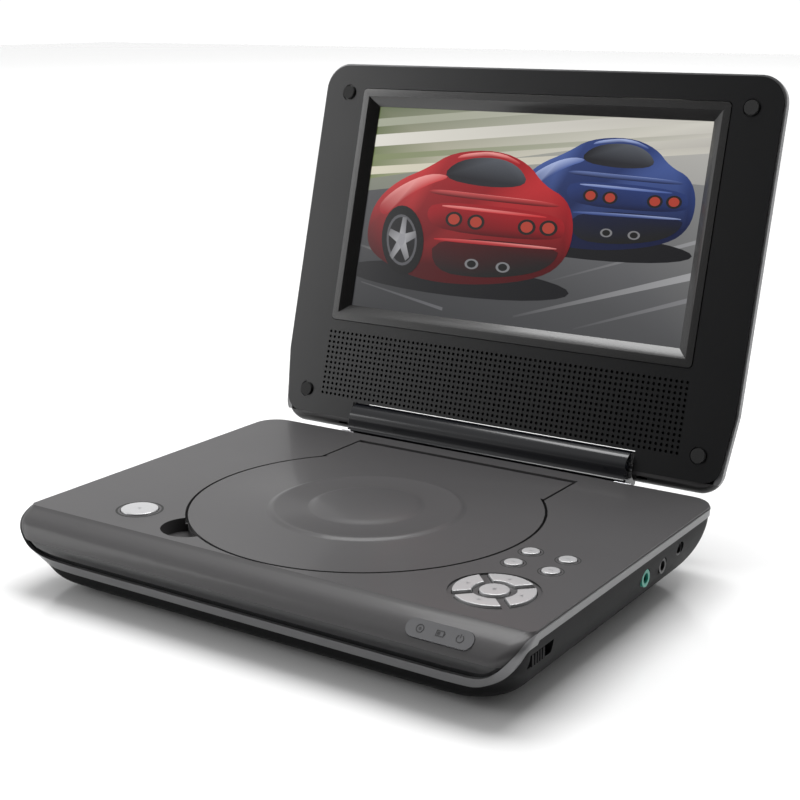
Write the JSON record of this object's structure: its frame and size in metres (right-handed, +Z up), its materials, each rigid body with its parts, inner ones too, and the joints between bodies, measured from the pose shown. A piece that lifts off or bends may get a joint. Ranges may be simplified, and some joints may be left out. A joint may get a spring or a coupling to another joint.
{
  "type": "portable dvd player",
  "caption": "Clamshell portable disc player with a hinged screen lid, speaker grilles, round disc door, arrow keys and side sockets.",
  "frame": {"origin": "centre of the bounding box at desk level, lid open as pictured", "axes": "+X to the right as the user sits, +Y to the back where the lid is hinged, +Z up; the front edge faces -Y"},
  "size_m": [0.2106, 0.21, 0.1805],
  "materials": {
    "deck_plastic": "satin painted",
    "shell_black": "fine satin",
    "gloss_black": "polished",
    "trim_silver": "satin silver paint",
    "key_silver": "satin silver",
    "screen_glass": "smooth, faces a picture",
    "grey_plastic": "plain",
    "steel": "plain",
    "cell_sleeve": "wrapped in film",
    "board_green": "solder mask",
    "chip_black": "matte",
    "rubber": "matte",
    "teal_plastic": "moulded colour",
    "lamp_clear": "milky",
    "brass": "plain",
    "lens_glass": "coated",
    "paper_cone": "pressed paper",
    "light_plastic": "plain"
  },
  "bodies": {
    "base": {"base_top_cover": "deck_plastic", "front_fascia": "gloss_black", "base_trim_band": "trim_silver", "base_bottom_shell": "shell_black", "hinge_barrel": "gloss_black", "hinge_shafts": "steel", "hinge_clips": "steel", "rubber_feet": "rubber", "base_screws": "steel", "lamp_window": "lamp_clear", "lamps": "lamp_clear", "headphone_jack": "teal_plastic", "jack_ring": "teal_plastic", "av_jack": "chip_black", "dc_jack": "chip_black", "switch_body": "chip_black", "disc_well": "shell_black", "sled_rails": "steel", "spindle_motor": "steel", "feed_motor": "steel", "main_board": "board_green", "board_chips": "chip_black", "battery_cells": "cell_sleeve", "key_board": "board_green", "tact_switches": "brass"},
    "lid": {"lid_bezel": "shell_black", "lid_trim_band": "trim_silver", "lid_back_shell": "deck_plastic", "lid_screws": "steel", "lid_hinge_arms": "steel", "screen_frame": "gloss_black", "lcd_panel": "screen_glass", "lcd_can": "light_plastic", "lid_board": "board_green", "speaker_frames": "grey_plastic", "speaker_cones": "paper_cone", "speaker_magnets": "steel", "lid_bumpers": "rubber"},
    "door": {"disc_door": "deck_plastic", "door_catch": "chip_black"},
    "disc_hub": {"turntable": "chip_black", "hub_catches": "steel"},
    "laser": {"laser_sled": "grey_plastic", "laser_lens": "lens_glass"},
    "key_a_body": {"key_a": "key_silver"},
    "key_b_body": {"key_b": "key_silver"},
    "key_c_body": {"key_c": "key_silver"},
    "key_d_body": {"key_d": "key_silver"},
    "enter_key_body": {"enter_key": "key_silver"},
    "nav_right_body": {"nav_right": "key_silver"},
    "nav_up_body": {"nav_up": "key_silver"},
    "nav_left_body": {"nav_left": "key_silver"},
    "nav_down_body": {"nav_down": "key_silver"},
    "open_button_body": {"open_button": "key_silver"},
    "power_switch_body": {"power_switch": "shell_black"}
  },
  "joints": [
    {"name": "lid_hinge", "type": "hinge", "parent": "base", "child": "lid", "pos_m": [0, 0.0574, 0.0321], "axis": [-1, 0, 0], "range_deg": [-105.2, 30]},
    {"name": "disc_door_hinge", "type": "hinge", "parent": "base", "child": "door", "pos_m": [0, 0.0368, 0.0265], "axis": [-1, 0, 0], "range_deg": [0, 78]},
    {"name": "disc_spin", "type": "hinge", "parent": "base", "child": "disc_hub", "pos_m": [0, -0.0292, 0.0195], "axis": [0, 0, 1], "continuous": true},
    {"name": "laser_slide", "type": "slide", "parent": "base", "child": "laser", "axis": [0, 1, 0], "range_m": [-0.017, 0.007]},
    {"name": "power_switch_slide", "type": "slide", "parent": "base", "child": "power_switch_body", "axis": [0, 1, 0], "range_m": [0, 0.004]},
    {"name": "open_button_press", "type": "slide", "parent": "base", "child": "open_button_body", "axis": [0, 0, -1], "range_m": [0, 0.001], "stiffness_N_per_m": 500},
    {"name": "key_a_press", "type": "slide", "parent": "base", "child": "key_a_body", "axis": [0, 0, -1], "range_m": [0, 0.0005], "stiffness_N_per_m": 400},
    {"name": "key_b_press", "type": "slide", "parent": "base", "child": "key_b_body", "axis": [0, 0, -1], "range_m": [0, 0.0005], "stiffness_N_per_m": 400},
    {"name": "key_c_press", "type": "slide", "parent": "base", "child": "key_c_body", "axis": [0, 0, -1], "range_m": [0, 0.0005], "stiffness_N_per_m": 400},
    {"name": "key_d_press", "type": "slide", "parent": "base", "child": "key_d_body", "axis": [0, 0, -1], "range_m": [0, 0.0005], "stiffness_N_per_m": 400},
    {"name": "enter_key_press", "type": "slide", "parent": "base", "child": "enter_key_body", "axis": [0, 0, -1], "range_m": [0, 0.0005], "stiffness_N_per_m": 400},
    {"name": "nav_right_press", "type": "slide", "parent": "base", "child": "nav_right_body", "axis": [0, 0, -1], "range_m": [0, 0.0005], "stiffness_N_per_m": 400},
    {"name": "nav_up_press", "type": "slide", "parent": "base", "child": "nav_up_body", "axis": [0, 0, -1], "range_m": [0, 0.0005], "stiffness_N_per_m": 400},
    {"name": "nav_left_press", "type": "slide", "parent": "base", "child": "nav_left_body", "axis": [0, 0, -1], "range_m": [0, 0.0005], "stiffness_N_per_m": 400},
    {"name": "nav_down_press", "type": "slide", "parent": "base", "child": "nav_down_body", "axis": [0, 0, -1], "range_m": [0, 0.0005], "stiffness_N_per_m": 400}
  ]
}
